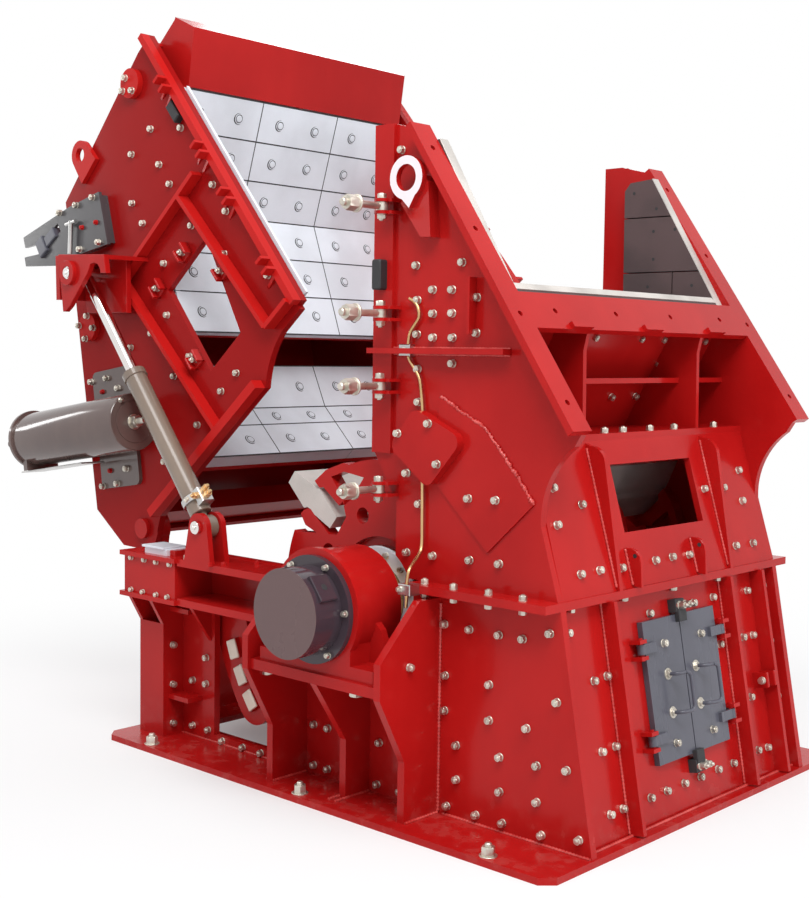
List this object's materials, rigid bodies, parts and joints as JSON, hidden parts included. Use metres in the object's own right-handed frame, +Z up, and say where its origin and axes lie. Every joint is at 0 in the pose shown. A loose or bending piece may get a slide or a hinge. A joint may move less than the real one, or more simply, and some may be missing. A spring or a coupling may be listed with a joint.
{
  "type": "impact crusher",
  "caption": "Stationary impact crusher on a flanged base, rear housing tilted open on cylinders over the rotor, sloping feed inlet and access doors in front.",
  "frame": {"origin": "centre of the foundation bolt rectangle, on the floor under the base plate", "axes": "+X towards the feed inlet, +Z up, Y across the machine along the rotor shaft; the near side of the picture is -Y"},
  "size_m": [3.3807, 2.37, 3.1558],
  "materials": {
    "housing_red": "gloss",
    "rotor_red": "gloss",
    "door_grey": "semi-gloss",
    "can_grey": "gloss",
    "cover_taupe": "semi-gloss",
    "barrel_grey": "semi-gloss",
    "rod_chrome": "polished",
    "bolt_zinc": "brushed",
    "bar_cast": "cast",
    "shaft_steel": "turned",
    "plate_cast": "cast",
    "inlet_wear": "cast"
  },
  "bodies": {
    "fixed_housing": {"base_frame": "housing_red", "bearing_covers": "cover_taupe", "bearing_housings": "housing_red", "cylinder_feet": "housing_red", "door_hinges": "door_grey", "feed_plate": "inlet_wear", "front_panel": "housing_red", "grinding_path": "housing_red", "hinge_lugs": "housing_red", "inlet_frame": "housing_red", "inlet_hood": "housing_red", "inlet_liners": "inlet_wear", "lifting_rings": "housing_red", "lower_front_wall": "housing_red", "lower_sides": "housing_red", "mid_flange": "housing_red", "outrigger_boxes": "housing_red", "pedestals": "housing_red", "rear_wall": "housing_red", "swing_lugs": "housing_red", "upper_sides": "housing_red"},
    "rotor": {"rotor_shaft": "shaft_steel", "rotor_discs": "rotor_red", "blow_bars": "bar_cast"},
    "tilting_housing": {"tilt_sides": "housing_red", "tilt_skin": "housing_red", "tilt_beams": "housing_red", "tilt_lip": "housing_red", "upper_apron": "plate_cast", "lower_apron": "plate_cast", "apron_hangers": "housing_red", "spring_cans": "can_grey", "screw_brackets": "can_grey", "head_brackets": "housing_red", "seal_strips": "plate_cast"},
    "barrel_near": {"cylinder_barrel_near": "barrel_grey"},
    "barrel_far": {"cylinder_barrel_far": "barrel_grey"},
    "rod_near": {"cylinder_rod_near": "rod_chrome"},
    "rod_far": {"cylinder_rod_far": "rod_chrome"},
    "door_near": {"door_near": "door_grey"},
    "door_far": {"door_far": "door_grey"},
    "swing_bolt_near_1": {"swing_bolt_near_1": "bolt_zinc"},
    "swing_bolt_near_2": {"swing_bolt_near_2": "bolt_zinc"},
    "swing_bolt_near_3": {"swing_bolt_near_3": "bolt_zinc"},
    "swing_bolt_near_4": {"swing_bolt_near_4": "bolt_zinc"},
    "swing_bolt_far_1": {"swing_bolt_far_1": "bolt_zinc"},
    "swing_bolt_far_2": {"swing_bolt_far_2": "bolt_zinc"},
    "swing_bolt_far_3": {"swing_bolt_far_3": "bolt_zinc"},
    "swing_bolt_far_4": {"swing_bolt_far_4": "bolt_zinc"}
  },
  "joints": [
    {"name": "rotor_spin", "type": "hinge", "parent": "fixed_housing", "child": "rotor", "pos_m": [0.15, 0, 0.765], "axis": [0, 1, 0], "continuous": true},
    {"name": "housing_tilt", "type": "hinge", "parent": "fixed_housing", "child": "tilting_housing", "pos_m": [-1.262, 0, 0.9], "axis": [0, 1, 0], "range_deg": [0, 40.3]},
    {"name": "cylinder_swing_near", "type": "hinge", "parent": "fixed_housing", "child": "barrel_near", "pos_m": [-0.634, -0.9, 0.981], "axis": [0, 1, 0], "range_deg": [0, 34.9]},
    {"name": "rod_stroke_near", "type": "slide", "parent": "barrel_near", "child": "rod_near", "axis": [-0.6323, 0, 0.7747], "range_m": [-0.4232, 0]},
    {"name": "cylinder_swing_far", "type": "hinge", "parent": "fixed_housing", "child": "barrel_far", "pos_m": [-0.634, 0.9, 0.981], "axis": [0, 1, 0], "range_deg": [0, 34.9]},
    {"name": "rod_stroke_far", "type": "slide", "parent": "barrel_far", "child": "rod_far", "axis": [-0.6323, 0, 0.7747], "range_m": [-0.4232, 0]},
    {"name": "door_swing_near", "type": "hinge", "parent": "fixed_housing", "child": "door_near", "pos_m": [1.09738, -0.28, 0.48171], "axis": [-0.181, 0, 0.9835], "range_deg": [-105, 0]},
    {"name": "door_swing_far", "type": "hinge", "parent": "fixed_housing", "child": "door_far", "pos_m": [1.09738, 0.28, 0.48171], "axis": [-0.181, 0, 0.9835], "range_deg": [0, 105]},
    {"name": "swing_bolt_near_1_swing", "type": "hinge", "parent": "fixed_housing", "child": "swing_bolt_near_1", "pos_m": [0.254, -0.815, 1.2], "axis": [0, 0, -1], "range_deg": [0, 90]},
    {"name": "swing_bolt_near_2_swing", "type": "hinge", "parent": "fixed_housing", "child": "swing_bolt_near_2", "pos_m": [0.254, -0.815, 1.58], "axis": [0, 0, -1], "range_deg": [0, 90]},
    {"name": "swing_bolt_near_3_swing", "type": "hinge", "parent": "fixed_housing", "child": "swing_bolt_near_3", "pos_m": [0.254, -0.815, 1.846], "axis": [0, 0, -1], "range_deg": [0, 90]},
    {"name": "swing_bolt_near_4_swing", "type": "hinge", "parent": "fixed_housing", "child": "swing_bolt_near_4", "pos_m": [0.254, -0.815, 2.235], "axis": [0, 0, -1], "range_deg": [0, 90]},
    {"name": "swing_bolt_far_1_swing", "type": "hinge", "parent": "fixed_housing", "child": "swing_bolt_far_1", "pos_m": [0.254, 0.815, 1.2], "axis": [0, 0, 1], "range_deg": [0, 90]},
    {"name": "swing_bolt_far_2_swing", "type": "hinge", "parent": "fixed_housing", "child": "swing_bolt_far_2", "pos_m": [0.254, 0.815, 1.58], "axis": [0, 0, 1], "range_deg": [0, 90]},
    {"name": "swing_bolt_far_3_swing", "type": "hinge", "parent": "fixed_housing", "child": "swing_bolt_far_3", "pos_m": [0.254, 0.815, 1.846], "axis": [0, 0, 1], "range_deg": [0, 90]},
    {"name": "swing_bolt_far_4_swing", "type": "hinge", "parent": "fixed_housing", "child": "swing_bolt_far_4", "pos_m": [0.254, 0.815, 2.235], "axis": [0, 0, 1], "range_deg": [0, 90]}
  ],
  "couplings": [
    {"joint": "cylinder_swing_near", "follows": "housing_tilt", "ratio": 0.8656},
    {"joint": "rod_stroke_near", "follows": "housing_tilt", "m_per_rad": -0.6013},
    {"joint": "cylinder_swing_far", "follows": "housing_tilt", "ratio": 0.8656},
    {"joint": "rod_stroke_far", "follows": "housing_tilt", "m_per_rad": -0.6013}
  ]
}
